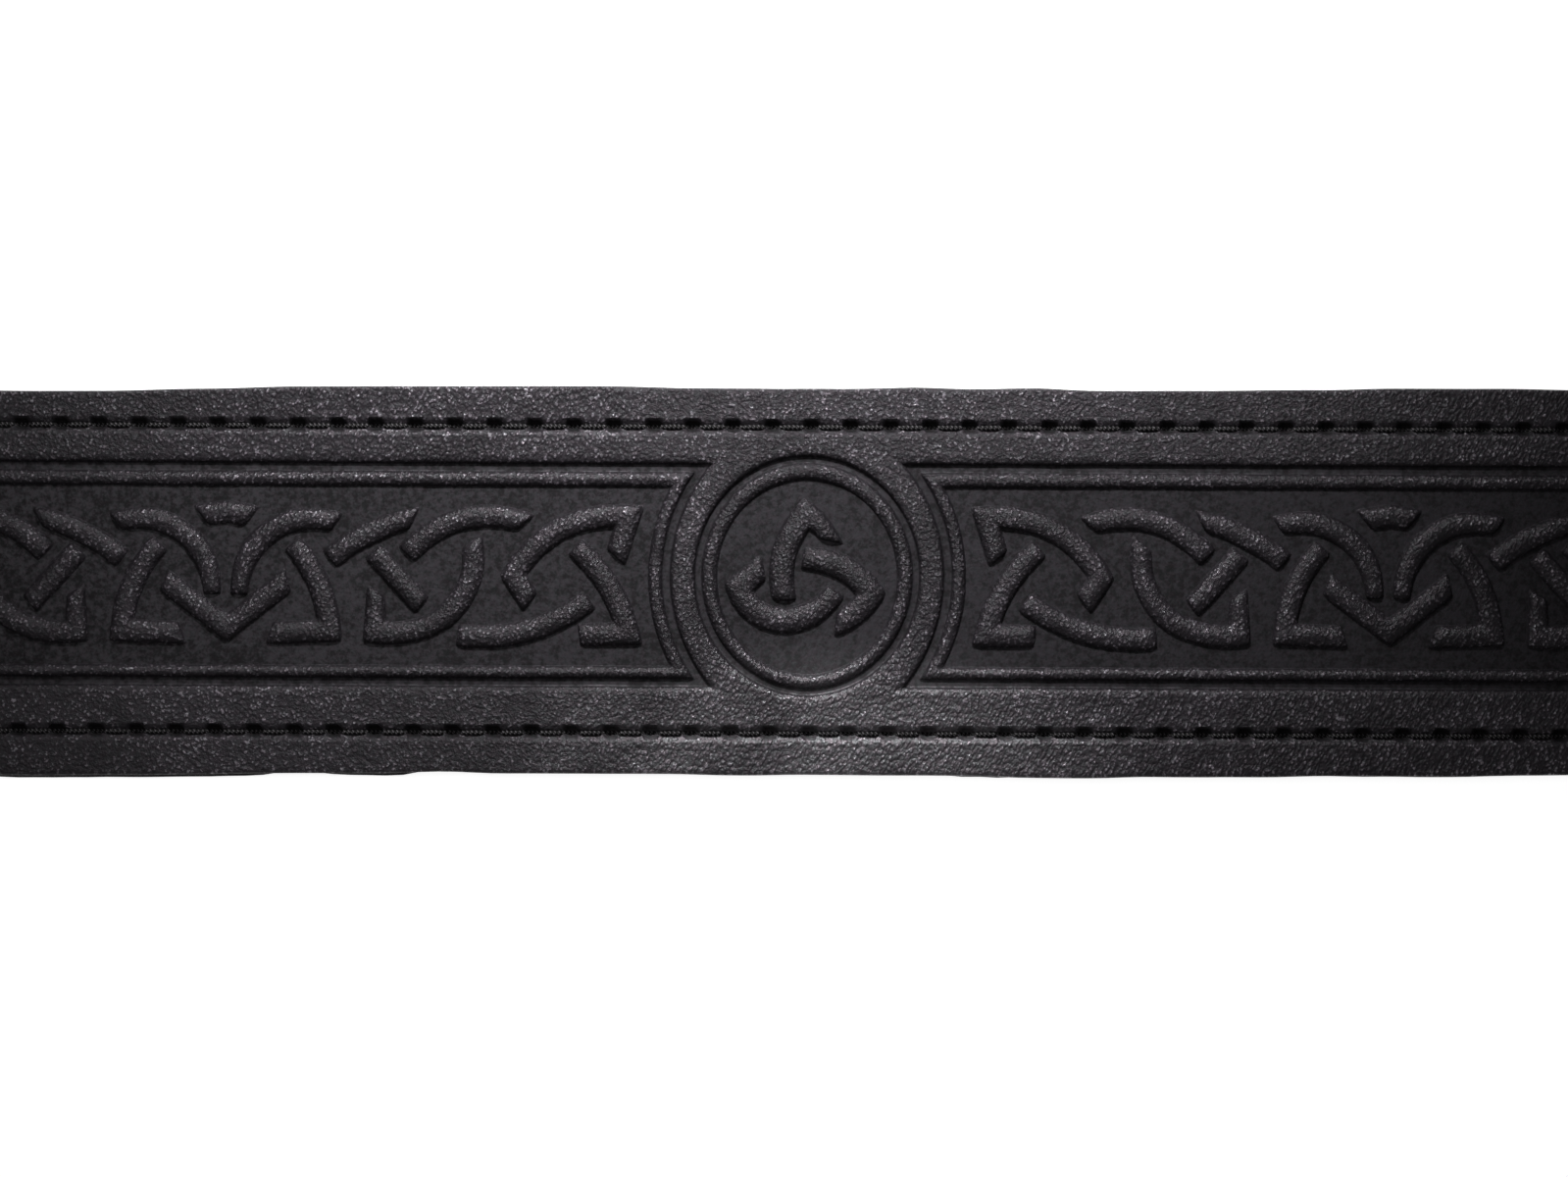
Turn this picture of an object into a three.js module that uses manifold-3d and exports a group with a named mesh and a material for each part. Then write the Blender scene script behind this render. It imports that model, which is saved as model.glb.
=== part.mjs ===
import * as THREE from "three";
import { mergeVertices } from "three/addons/utils/BufferGeometryUtils.js";
import Module from "manifold-3d";

// A kilt belt laid straight and flat, its embossed face up. Millimetres.
// X runs along the strap from its free tip to the buckle, Y across it and Z up from what it lies on.

// The two plies of the strap
const strapWidth = 57.2;
const faceThickness = 2.4;
const backingThickness = 1.3;
const clearance = 0.3; // between pieces that touch on the real belt

// The free tip, with a row of punched holes on its middle line
const tipLength = 215; // from the middle of the last roundel
const tipRadius = 16;
const holeDiameter = 5;
const holePitch = 25.4;
const holeCount = 5;
const firstHole = 38; // from the tip

// The fold round the buckle's bar
const barReach = 139; // from the middle of the last roundel
const barDiameter = 3.2;
const tailLength = 78; // turned back under the face
const tailRise = 18; // over which the face climbs onto the tail
const barRise = 34; // over which it climbs onto the bar

// The buckle: a plate with a fixed bar and a fixed hook behind it
const plateLength = 90;
const plateWidth = 66;
const plateThickness = 2.4;
const plateCorner = 6;
const plateBevel = 0.5;
const barInset = 14; // from the plate's inner end
const lugThickness = 2.4;
const lugRadius = 3.4;
const hookDiameter = 4;
const hookInset = 12; // from the plate's outer end
const toeLength = 7;
const toeThickness = 2.2;

// The embossed pattern: roundels with a panel of knotwork between each two
const roundelCount = 5;
const roundelPitch = 172.5;
const patternRise = 0.9; // of the pattern's middle line over the strap's
const relief = 0.9; // depth of the ground under the face
const wallSpread = 0.3; // how far a wall leans out over that depth

const panelHeight = 33.2; // over its outer groove
const panelGroove = 1.2;
const panelRidge = 2;
const panelEndReach = 20.26; // from a roundel's middle to the waist of the panel's end
const panelEndRadius = 25.5;

const roundelWidth = 33.52; // over its outer groove
const roundelHeight = 35.66;
const roundelGroove = 0.98;
const roundelRidge = 2.3;

const knotStrand = 2.75;
const trefoilStrand = 3.35;
const strandHeight = 0.85; // over the ground
const strandRound = 0.75; // width of the rounding on each side
const strandRoot = 0.2; // how far a strand's widest part runs on under the ground

// The strands of half a panel, which is mirrored about its middle. along is a share of half the
// roundel pitch, counted from the roundel's middle, and up a share of half the ground's height. bow
// is how far each leg bends to the left of its run, as a share of the leg's length.
const panelStrands = [
  {
    name: "corner hook",
    along: [0.329, 0.306, 0.506, 0.479],
    up: [0.198, 0.659, -0.009, -0.286],
    bow: [0, 0.15, 0],
  },
  { name: "z", along: [0.399, 0.306, 0.388], up: [0.297, -0.649, -0.663], bow: [-0.08, 0] },
  { name: "smile", along: [0.376, 0.598], up: [-0.283, -0.674], bow: [-0.1] },
  { name: "top arch", along: [0.485, 0.687], up: [0.582, 0.223], bow: [0.16] },
  {
    name: "j",
    along: [0.577, 0.629, 0.744, 0.742],
    up: [0.367, -0.499, -0.632, -0.177],
    bow: [-0.15, -0.08, 0],
  },
  { name: "slash", along: [0.743, 0.666], up: [0.236, -0.352], bow: [0] },
  { name: "link arch", along: [0.674, 0.818], up: [0.646, 0.183], bow: [0.06] },
  { name: "shoulder", along: [0.807, 0.881, 0.982], up: [0.595, 0.619, -0.209], bow: [0.05, 0.18] },
  { name: "second z", along: [0.885, 0.819, 0.919], up: [0.326, -0.625, -0.644], bow: [-0.09, 0] },
];

// The two strands that cross the panel's middle and are their own mirror images, in the same shares.
const middleStrands = [
  { name: "v", along: [0.893, 1, 1.107], up: [-0.086, -0.566, -0.086], bow: [0, 0] },
  { name: "crown", along: [0.958, 1, 1.042], up: [0.655, 0.687, 0.655], bow: [0, 0] },
];

// The three strands of a roundel's knot: along and up are shares of its disc's half width and height.
const trefoilStrands = [
  { name: "top", along: [-0.261, -0.005, 0.303], up: [-0.229, 0.659, 0.366], bow: [0.13, 0.06] },
  { name: "right", along: [-0.037, 0.707, 0.319], up: [0.193, -0.17, -0.531], bow: [0.13, 0.03] },
  {
    name: "left",
    along: [-0.494, -0.76, -0.276, 0.335],
    up: [0.074, -0.119, -0.463, -0.161],
    bow: [0, -0.15, -0.13],
  },
];

// Where things stand, with the middle roundel at X = 0
const rowHalf = ((roundelCount - 1) * roundelPitch) / 2;
const tipX = -rowHalf - tipLength;
const barX = rowHalf + barReach;
const tailX = barX - tailLength;
const foldX = tailX - tailRise;
const plateX = barX - barInset;
const buckleEndX = plateX + plateLength;
const faceBottom = backingThickness + clearance;
const faceTop = faceBottom + faceThickness;
const groundZ = faceTop - relief;
const foldInner = barDiameter / 2 + clearance;
const foldOuter = foldInner + faceThickness;
const barZ = foldOuter;
const plateZ = barZ + foldOuter + clearance;
const groundHalf = panelHeight / 2 - panelGroove - panelRidge;
const discInset = roundelGroove + roundelRidge;
const roundelX = Array.from({ length: roundelCount }, (_, i) => i * roundelPitch - rowHalf);

// How finely round shapes are cut
const endSteps = 4;
const ringSteps = 12;
const bowSteps = 4;
const strandLayers = 2;
const foldSteps = 6;
const cornerSteps = 4;
const pegSides = 16;
const holeSides = 16;

const wasm = await Module();
wasm.setup();

// A closed geometry as a solid that can be joined and cut.
function solid(geometry) {
  const bare = new THREE.BufferGeometry();
  bare.setAttribute("position", geometry.getAttribute("position"));
  if (geometry.index) bare.setIndex(geometry.index);
  const welded = mergeVertices(bare);
  return new wasm.Manifold(
    new wasm.Mesh({
      numProp: 3,
      vertProperties: welded.attributes.position.array,
      triVerts: Uint32Array.from(welded.index.array),
    }),
  );
}

// A finished solid as a named mesh.
function mesh(name, made, material) {
  const { vertProperties, triVerts } = made.getMesh();
  const geometry = new THREE.BufferGeometry();
  geometry.setAttribute("position", new THREE.BufferAttribute(vertProperties, 3));
  geometry.setIndex(new THREE.BufferAttribute(triVerts, 1));
  geometry.computeVertexNormals();
  const piece = new THREE.Mesh(geometry, material);
  piece.name = name;
  return piece;
}

// A shape in X and Y pulled up along Z from a height.
function prism(shape, bottom, height, curveSegments) {
  const geometry = new THREE.ExtrudeGeometry(shape, { depth: height, bevelEnabled: false, curveSegments });
  return solid(geometry.translate(0, 0, bottom));
}

// A shape in X and Z pulled along Y, its middle at the given place across the strap.
function slice(shape, middleY, width, curveSegments) {
  const geometry = new THREE.ExtrudeGeometry(shape, { depth: width, bevelEnabled: false, curveSegments });
  return solid(geometry.rotateX(Math.PI / 2).translate(0, middleY + width / 2, 0));
}

// A round pin along Y or Z.
function pin(axis, diameter, length, sides) {
  const geometry = new THREE.CylinderGeometry(diameter / 2, diameter / 2, length, sides);
  return axis === "z" ? geometry.rotateX(Math.PI / 2) : geometry;
}

// The strap seen from above, from its tip to an end that is cut square.
function strapPlan(endX) {
  const half = strapWidth / 2;
  const plan = new THREE.Shape();
  plan.moveTo(endX, -half);
  plan.lineTo(endX, half);
  plan.lineTo(tipX + tipRadius, half);
  plan.absarc(tipX + tipRadius, half - tipRadius, tipRadius, Math.PI / 2, Math.PI, false);
  plan.absarc(tipX + tipRadius, tipRadius - half, tipRadius, Math.PI, 1.5 * Math.PI, false);
  return plan;
}

// The punched holes, as pins that reach well past both faces of the strap.
function holes() {
  const depth = 4 * faceTop;
  return wasm.Manifold.union(
    Array.from({ length: holeCount }, (_, i) =>
      solid(pin("z", holeDiameter, depth, holeSides).translate(tipX + firstHole + i * holePitch, 0, 0)),
    ),
  );
}

// A climb or fall from the path's present point that starts and ends level.
function ease(path, x, z) {
  const from = path.currentPoint.clone();
  const middle = (from.x + x) / 2;
  path.bezierCurveTo(middle, from.y, middle, z, x, z);
}

// The end of the face ply from its side: up over its own tail, round the bar, and back.
function foldProfile() {
  const overTail = faceThickness + clearance;
  const overBar = barZ + foldInner;
  const profile = new THREE.Shape();
  profile.moveTo(foldX, faceBottom);
  ease(profile, tailX, overTail);
  profile.lineTo(barX - barRise, overTail);
  ease(profile, barX, overBar);
  profile.absarc(barX, barZ, foldInner, Math.PI / 2, -Math.PI / 2, true);
  profile.lineTo(tailX, faceThickness);
  profile.lineTo(tailX, 0);
  profile.lineTo(barX, 0);
  profile.absarc(barX, barZ, foldOuter, -Math.PI / 2, Math.PI / 2, false);
  ease(profile, barX - barRise, overTail + faceThickness);
  profile.lineTo(tailX, overTail + faceThickness);
  ease(profile, foldX, faceTop);
  return profile;
}

// A panel between two roundels, drawn in by an inset all round. Its ends curve round the roundels.
function panelOutline(startX, inset) {
  const half = panelHeight / 2 - inset;
  const radius = panelEndRadius + inset;
  const swing = Math.asin(half / radius);
  const left = startX + panelEndReach - panelEndRadius;
  const right = startX + roundelPitch - panelEndReach + panelEndRadius;
  const outline = new THREE.Shape();
  outline.absarc(left, patternRise, radius, swing, -swing, true);
  outline.absarc(right, patternRise, radius, Math.PI + swing, Math.PI - swing, true);
  return outline;
}

// A roundel's ellipse, drawn in by an inset.
function roundelOutline(x, inset) {
  const outline = new THREE.Shape();
  const [halfWidth, halfHeight] = [roundelWidth / 2 - inset, roundelHeight / 2 - inset];
  outline.absellipse(x, patternRise, halfWidth, halfHeight, 0, 2 * Math.PI, false);
  return outline;
}

// A cut down to the ground, its walls leaning out as they rise.
function pocket(outline, island, curveSegments) {
  if (island) outline.holes.push(island);
  const geometry = new THREE.ExtrudeGeometry(outline, {
    depth: relief,
    bevelThickness: relief,
    bevelSize: wallSpread,
    bevelOffset: -wallSpread / 2,
    bevelSegments: 1,
    curveSegments,
  });
  return solid(geometry.translate(0, 0, groundZ + relief));
}

// All the ground and grooves of the pattern.
function pockets() {
  const panels = roundelX.slice(0, -1).flatMap((x) => [
    pocket(panelOutline(x, 0), panelOutline(x, panelGroove), endSteps),
    pocket(panelOutline(x, panelGroove + panelRidge), null, endSteps),
  ]);
  const roundels = roundelX.flatMap((x) => [
    pocket(roundelOutline(x, 0), roundelOutline(x, roundelGroove), ringSteps),
    pocket(roundelOutline(x, discInset), null, ringSteps),
  ]);
  return wasm.Manifold.union([...panels, ...roundels]);
}

// The points along a strand's middle, with the given half sizes for its shares.
function middleLine(row, halfWidth, halfHeight) {
  const knots = row.along.map((along, i) => new THREE.Vector2(along * halfWidth, row.up[i] * halfHeight));
  const line = new THREE.Path();
  line.moveTo(knots[0].x, knots[0].y);
  row.bow.forEach((bow, i) => {
    const [from, to] = [knots[i], knots[i + 1]];
    const pullX = (from.x + to.x) / 2 - 2 * bow * (to.y - from.y);
    const pullY = (from.y + to.y) / 2 + 2 * bow * (to.x - from.x);
    if (bow) line.quadraticCurveTo(pullX, pullY, to.x, to.y);
    else line.lineTo(to.x, to.y);
  });
  return line.getPoints(bowSteps);
}

// The flat top of a strand: a band round its middle line, short of its ends by the rounding.
function strandTop(points, width) {
  const half = width / 2 - strandRound;
  const runs = points.slice(1).map((point, i) => point.clone().sub(points[i]).normalize());
  const last = points.length - 1;
  const left = [];
  const right = [];
  points.forEach((point, i) => {
    const before = runs[Math.max(i - 1, 0)];
    const after = runs[Math.min(i, last - 1)];
    const along = before.clone().add(after).normalize();
    const side = new THREE.Vector2(-along.y, along.x).multiplyScalar(half / along.dot(after));
    const trim = i === 0 ? strandRound : i === last ? -strandRound : 0;
    const place = point.clone().addScaledVector(along, trim);
    left.push(place.clone().add(side));
    right.unshift(place.clone().sub(side));
  });
  return [...left, ...right];
}

// A raised strand with a rounded top, standing on the ground at a place and perhaps mirrored.
function strand(top, x, mirrored) {
  const side = mirrored ? -1 : 1;
  const placed = top.map((point) => new THREE.Vector2(x + side * point.x, point.y + patternRise));
  const geometry = new THREE.ExtrudeGeometry(new THREE.Shape(placed), {
    depth: strandRoot,
    bevelThickness: strandHeight,
    bevelSize: strandRound,
    bevelSegments: strandLayers,
  });
  return solid(geometry.translate(0, 0, groundZ - strandRoot));
}

// Every strand of the pattern.
function strands() {
  const panelHalf = [roundelPitch / 2, groundHalf];
  const discHalf = [roundelWidth / 2 - discInset, roundelHeight / 2 - discInset];
  const sided = panelStrands.map((row) => strandTop(middleLine(row, ...panelHalf), knotStrand));
  const centred = middleStrands.map((row) => strandTop(middleLine(row, ...panelHalf), knotStrand));
  const trefoil = trefoilStrands.map((row) => strandTop(middleLine(row, ...discHalf), trefoilStrand));
  const inPanels = roundelX.slice(0, -1).flatMap((x) => [
    ...centred.map((top) => strand(top, x, false)),
    ...sided.map((top) => strand(top, x, false)),
    ...sided.map((top) => strand(top, x + roundelPitch, true)),
  ]);
  const inRoundels = roundelX.flatMap((x) => trefoil.map((top) => strand(top, x, false)));
  return wasm.Manifold.union([...inPanels, ...inRoundels]);
}

// The embossed ply, up to where it starts to climb onto its own tail.
function faceStrap() {
  const ply = prism(strapPlan(foldX - clearance), faceBottom, faceThickness, cornerSteps);
  return ply.subtract(pockets()).add(strands().intersect(ply)).subtract(holes());
}

// The end of the same ply, folded round the buckle's bar.
function buckleFold() {
  return slice(foldProfile(), 0, strapWidth, foldSteps);
}

// The plain ply under it, which stops short of the tail.
function backingStrap() {
  return prism(strapPlan(tailX - clearance), 0, backingThickness, cornerSteps).subtract(holes());
}

// A rectangle with rounded corners, seen from above.
function roundedPlate(startX, length, width, corner) {
  const [endX, half] = [startX + length, width / 2];
  const outline = new THREE.Shape();
  outline.absarc(startX + corner, corner - half, corner, Math.PI, 1.5 * Math.PI, false);
  outline.absarc(endX - corner, corner - half, corner, 1.5 * Math.PI, 2 * Math.PI, false);
  outline.absarc(endX - corner, half - corner, corner, 0, Math.PI / 2, false);
  outline.absarc(startX + corner, half - corner, corner, Math.PI / 2, Math.PI, false);
  return outline;
}

// The buckle's plate, its edges bevelled.
function plate() {
  const inner = roundedPlate(
    plateX + plateBevel,
    plateLength - 2 * plateBevel,
    plateWidth - 2 * plateBevel,
    plateCorner - plateBevel,
  );
  const geometry = new THREE.ExtrudeGeometry(inner, {
    depth: plateThickness - 2 * plateBevel,
    bevelThickness: plateBevel,
    bevelSize: plateBevel,
    bevelSegments: 2,
    curveSegments: cornerSteps,
  });
  return solid(geometry.translate(0, 0, plateZ + plateBevel));
}

// A lug beside the strap that carries one end of the bar.
function lug(side) {
  const outline = new THREE.Shape();
  outline.moveTo(barX + lugRadius, plateZ + plateThickness / 2);
  outline.lineTo(barX - lugRadius, plateZ + plateThickness / 2);
  outline.absarc(barX, barZ, lugRadius, Math.PI, 2 * Math.PI, false);
  return slice(outline, side * (strapWidth / 2 + clearance + lugThickness / 2), lugThickness, foldSteps);
}

// The bar that the strap folds round, from lug to lug.
function bar() {
  const length = strapWidth + 2 * clearance + lugThickness;
  return solid(pin("y", barDiameter, length, pegSides).translate(barX, 0, barZ));
}

// The fixed hook for the free end: a peg down to the ground with a toe that points away from the bar.
function hook() {
  const pegX = buckleEndX - hookInset;
  const height = plateZ + plateThickness / 2;
  const peg = solid(pin("z", hookDiameter, height, pegSides).translate(pegX, 0, height / 2));
  const toe = new THREE.Shape();
  toe.moveTo(pegX, hookDiameter / 2);
  toe.lineTo(pegX, -hookDiameter / 2);
  toe.absarc(pegX + toeLength - hookDiameter / 2, 0, hookDiameter / 2, -Math.PI / 2, Math.PI / 2, false);
  return peg.add(prism(toe, 0, toeThickness, cornerSteps));
}

const leather = new THREE.MeshStandardMaterial({ color: 0x1c1a1d, roughness: 0.5, metalness: 0 });
const plainLeather = new THREE.MeshStandardMaterial({ color: 0x151416, roughness: 0.75, metalness: 0 });
const zinc = new THREE.MeshStandardMaterial({ color: 0xa8a8aa, roughness: 0.3, metalness: 1 });

const belt = new THREE.Group();
belt.add(mesh("face_strap", faceStrap(), leather));
belt.add(mesh("buckle_fold", buckleFold(), leather));
belt.add(mesh("backing_strap", backingStrap(), plainLeather));
belt.add(mesh("buckle_plate", wasm.Manifold.union([plate(), lug(-1), lug(1), bar(), hook()]), zinc));
belt.position.x = -(tipX + buckleEndX) / 2; // so that the origin is under the middle of the whole belt

export default belt;
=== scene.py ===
import bisect
import math

import bmesh
import bpy
from mathutils import Matrix, Vector, noise
from mathutils.geometry import delaunay_2d_cdt


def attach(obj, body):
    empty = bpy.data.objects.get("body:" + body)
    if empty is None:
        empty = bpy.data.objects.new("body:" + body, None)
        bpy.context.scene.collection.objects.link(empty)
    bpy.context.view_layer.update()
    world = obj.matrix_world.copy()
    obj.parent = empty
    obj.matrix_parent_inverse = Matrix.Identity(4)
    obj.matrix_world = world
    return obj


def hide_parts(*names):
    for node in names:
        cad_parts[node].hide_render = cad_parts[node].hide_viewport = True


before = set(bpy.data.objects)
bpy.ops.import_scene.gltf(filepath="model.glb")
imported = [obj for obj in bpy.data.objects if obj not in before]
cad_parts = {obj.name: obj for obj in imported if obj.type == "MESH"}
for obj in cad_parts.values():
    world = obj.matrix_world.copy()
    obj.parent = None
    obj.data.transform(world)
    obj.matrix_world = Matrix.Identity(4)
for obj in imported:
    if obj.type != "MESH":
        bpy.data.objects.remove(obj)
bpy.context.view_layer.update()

mm = 0.001

# The strap, in millimetres, as the solids have it
strap = {
    "width": 57.2,
    "tip": -560.0,
    "tipRadius": 16.0,
    "thickness": 2.4,
    "backing": 1.45,
    "foldStart": 388.0,
    "tailEnd": 406.0,
    "riseStart": 450.0,
    "bar": 484.0,
    "barZ": 4.3,
    "foldInner": 1.9,
    "bendRadius": 3.1,
    "underside": 1.6,
    "sole": -0.15,
    "overTail": 2.7,
    "overBar": 6.2,
    "holes": [-522.0 + 25.4 * i for i in range(5)],
    "holeRadius": 2.5,
}

# The leather's length round the bar, and what a place before the bar and the one behind it add up to
turnLength = math.pi * strap["bendRadius"]
turnBack = 2 * strap["bar"] + turnLength

# How finely the pieces are made: points along a loop, and gaps between rows
fineness = {
    "roundel": 120,
    "panelSide": 92,
    "panelEnd": 38,
    "strandRow": 0.56,
    "edge": 2.6,
    "hole": 24,
    "foldSewn": 0.62,
    "tailPlain": 3,
    "tailSewn": 0.9,
}

# How far the knife ran outside the straight edge, by place along the strap,
# and how proud the second ply stands
knife = {
    "upper": [
        (-150, 0), (-116, -0.62), (-104, -0.52), (-90, -0.16), (-76, 0.22), (-60, 0.36), (-32, 0.45),
        (-16, 0.18), (6, 0.18), (16, 0.4), (25, 0.2), (33, 0.36), (43, 0.04), (58, 0.1), (76, 0.28),
        (88, 0.54), (104, 0.54), (116, 0.38), (150, 0),
    ],
    "lower": [
        (-150, 0), (-116, 0.65), (-98, 0.55), (-89, 0.4), (-80, 0.2), (-63, 0.15), (-54, -0.12), (-45, 0.1),
        (-20, 0.12), (-11, 0.3), (0, 0.15), (24, 0.2), (33, 0.5), (42, 0.52), (50, 0.3), (68, 0.25),
        (76, 0.06), (94, 0.1), (112, -0.28), (150, 0),
    ],
    "proud": [
        (-130, 0.3), (-116, 0.45), (-82, 0.45), (-78, 0), (-73, 0), (-69, 0.4), (-60, 0.45), (-56.5, 0),
        (20, 0), (22, 0.25), (29, 0.25), (32, 0), (47, 0), (51, 0.16), (116, 0.18), (130, 0.25),
    ],
}

# The embossed pattern. A frame gives how far in from its outline the groove ends and the ridge ends
pattern = {
    "pitch": 172.5,
    "roundels": [172.5 * (i - 2) for i in range(5)],
    "rise": 0.9,
    "relief": 0.9,
    "panelHalf": 16.6,
    "groundHalf": 13.4,
    "endReach": 20.26,
    "endRadius": 25.5,
    "panelFrame": (1.3, 3.32),
    "roundelFrame": (1.1, 3.4),
    "roundelHalf": (16.76, 17.83),
    "discHalf": (13.48, 14.55),
    "strandHeight": 1.1,
    "panelStrand": 3.5,
    "discStrand": 3.9,
}

# Each strand: its places along and up, how far each leg bows, the slant of its two ends in degrees,
# and how wide it is at each end as a share of its width
panelStrands = [
    ([0.329, 0.306, 0.506, 0.476], [0.19, 0.655, -0.009, -0.31], [0, 0.15, 0], (-25, 22), (1.0, 1.0)),
    ([0.4, 0.307, 0.393], [0.315, -0.649, -0.665], [-0.08, 0], (0, 6), (0.95, 1.0)),
    ([0.374, 0.602], [-0.275, -0.674], [-0.1], (0, 0), (1.0, 1.0)),
    ([0.483, 0.69], [0.575, 0.215], [0.16], (-32, 0), (0.9, 1.0)),
    ([0.577, 0.629, 0.744, 0.742], [0.375, -0.499, -0.645, -0.175], [-0.15, -0.08, 0],
     (30, -30), (0.95, 0.8)),
    ([0.747, 0.662], [0.262, -0.345], [0], (0, 8), (0.97, 0.95)),
    ([0.675, 0.822], [0.625, 0.165], [0.06], (-38, 0), (0.85, 1.0)),
    ([0.809, 0.881, 0.977], [0.575, 0.595, -0.235], [0.05, 0.18], (-22, 0), (0.9, 0.76)),
    ([0.887, 0.821, 0.926], [0.34, -0.63, -0.655], [-0.09, 0], (0, -20), (0.95, 1.0)),
]
middleStrands = [
    ([0.893, 1.002, 1.107], [-0.07, -0.6, -0.07], [0, 0], (-14, 24), (1.0, 1.0)),
    ([0.957, 1.002, 1.045], [0.64, 0.69, 0.64], [0, 0], (-30, 30), (1.0, 1.0)),
]
discStrands = [
    ([-0.25, -0.01, 0.274], [-0.258, 0.635, 0.345], [0.13, 0.06], (13, 42), (0.95, 0.7)),
    ([-0.055, 0.71, 0.312], [0.178, -0.18, -0.5], [0.13, 0.08], (10, 30), (0.9, 0.9)),
    ([-0.478, -0.76, -0.276, 0.322], [0.091, -0.119, -0.463, -0.15], [0, -0.15, -0.13],
     (29, 0), (0.95, 0.84)),
]

# The two rows of stitches: where the upper and lower row run, how far apart the awl went in,
# and the leather beside the thread: lines along the band, and rows across it by distance from a pit
stitching = {
    "upper": 22.8,
    "lower": -22.65,
    "left": -554.4,
    "corner": 10.5,
    "end": 459.0,
    "pitch": 5.87,
    "upperPhase": 0.6,
    "lowerPhase": 0.3,
    "groove": 0.75,
    "grooveHalf": 0.6,
    "pit": 1.6,
    "pitHalf": (1.5, 1.08),
    "pitShift": 0.32,
    "band": [-1.42, -0.92, -0.42, 0.0, 0.42, 0.92, 1.42],
    "rows": (-1.4, -1.1, -0.6, 0.0, 0.6, 1.1, 1.4, 2.4, 3.4),
}


def wobble(x, y, size, seed):
    return noise.noise(Vector((x / size, y / size, seed * 7.31)))


def smooth(t):
    t = min(max(t, 0.0), 1.0)
    return t * t * (3 - 2 * t)


def dome(t):
    t = min(max(t, 0.0), 1.0)
    return math.sqrt(1 - (1 - t) ** 2)


def fullTurn(count):
    return [2 * math.pi * i / count for i in range(count)]


def ringAt(x, radius, high, count):
    return [(x + radius * math.cos(t), radius * math.sin(t), high) for t in fullTurn(count)]


def stepped(place, end, gap):
    places = []
    while place < end:
        places.append(place)
        place += gap
    return places


class Skin:
    # A leather skin in mm: along the strap, across it, and up from the ply's underside
    def __init__(self):
        self.points, self.raised, self.cut, self.faces, self.flat = [], [], [], [], []

    def add(self, place, raised=1.0, cut=0.0):
        self.points.append(place)
        self.raised.append(raised)
        self.cut.append(cut)
        return len(self.points) - 1

    def row(self, places, raised=1.0, cut=0.0):
        return [self.add(place, raised, cut) for place in places]

    def bridge(self, first, second, closed=True):
        count = len(first)
        for i in range(count if closed else count - 1):
            j = (i + 1) % count
            self.faces.append((first[i], first[j], second[j], second[i]))

    def bridgeRows(self, rows, closed=True):
        for first, second in zip(rows, rows[1:]):
            self.bridge(first, second, closed)

    # Closes the leather inside one outline and round the others
    def fill(self, outer, holes=()):
        loops = [outer, *holes]
        ids = [i for loop in loops for i in loop]
        spans, start = [], 0
        for loop in loops:
            spans.append(list(range(start, start + len(loop))))
            start += len(loop)
        flat = [Vector(self.points[i][:2]) for i in ids]
        corners, _, triangles, origins, _, _ = delaunay_2d_cdt(flat, [], spans, 2, 1e-6)
        if len(corners) != len(flat):
            print("outlines touch:", len(corners) - len(flat))
        self.flat += range(len(self.faces), len(self.faces) + len(triangles))
        for triangle in triangles:
            self.faces.append(tuple(ids[origins[v][0]] for v in triangle))


def addObject(name, data):
    made = bpy.data.objects.new(name, data)
    bpy.context.scene.collection.objects.link(made)
    return made


def objectFrom(name, built):
    mesh = bpy.data.meshes.new(name)
    built.to_mesh(mesh)
    built.free()
    return addObject(name, mesh)


def evaluatedMesh(piece):
    return bpy.data.meshes.new_from_object(piece.evaluated_get(bpy.context.evaluated_depsgraph_get()))


def countTriangles(mesh):
    return sum(len(p.vertices) - 2 for p in mesh.polygons)


# A piece of leather from its skin, with how raised and how freshly cut each point is
def makeLeather(name, skin, places):
    mesh = bpy.data.meshes.new(name)
    mesh.from_pydata([[v * mm for v in place] for place in places], [], skin.faces)
    rounded = [True] * len(skin.faces)
    for index in skin.flat:
        rounded[index] = False
    for maskName, values in (("raised", skin.raised), ("cutEdge", skin.cut)):
        layer = mesh.attributes.new(maskName, "FLOAT", "POINT")
        layer.data.foreach_set("value", values)
    built = bmesh.new()
    built.from_mesh(mesh)
    bmesh.ops.recalc_face_normals(built, faces=built.faces)
    openEdges = sum(1 for edge in built.edges if not edge.is_manifold)
    built.to_mesh(mesh)
    built.free()
    mesh.polygons.foreach_set("use_smooth", rounded)
    print(name, countTriangles(mesh), "triangles,", openEdges, "open edges")
    return addObject(name, mesh)


# Frames and roundels: how far in from the outline, how high, and how raised
def frameSteps(groove, ridgeEnd):
    ground = strap["thickness"] - pattern["relief"]
    rise = pattern["relief"]
    width = ridgeEnd - groove
    steps = [(-1.3, 1.0, 1.0), (-0.75, 0.97, 1.0), (-0.36, 0.87, 1.0), (-0.1, 0.66, 0.9), (0.03, 0.3, 0.2),
             (0.12, 0.02, 0.0), (0.32, 0.0, 0.0), (groove - 0.2, 0.0, 0.0), (groove - 0.03, 0.05, 0.0)]
    for share, high in ((0.04, 0.42), (0.16, 0.74), (0.34, 0.93), (0.52, 0.97), (0.7, 0.86), (0.86, 0.58)):
        steps.append((groove + share * width, high, 1.0 if high > 0.5 else 0.7))
    steps += [(groove + 0.97 * width, 0.2, 0.3), (groove + width + 0.06, 0.0, 0.0)]
    return [(inset, ground + high * rise, raised) for inset, high, raised in steps]


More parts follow.
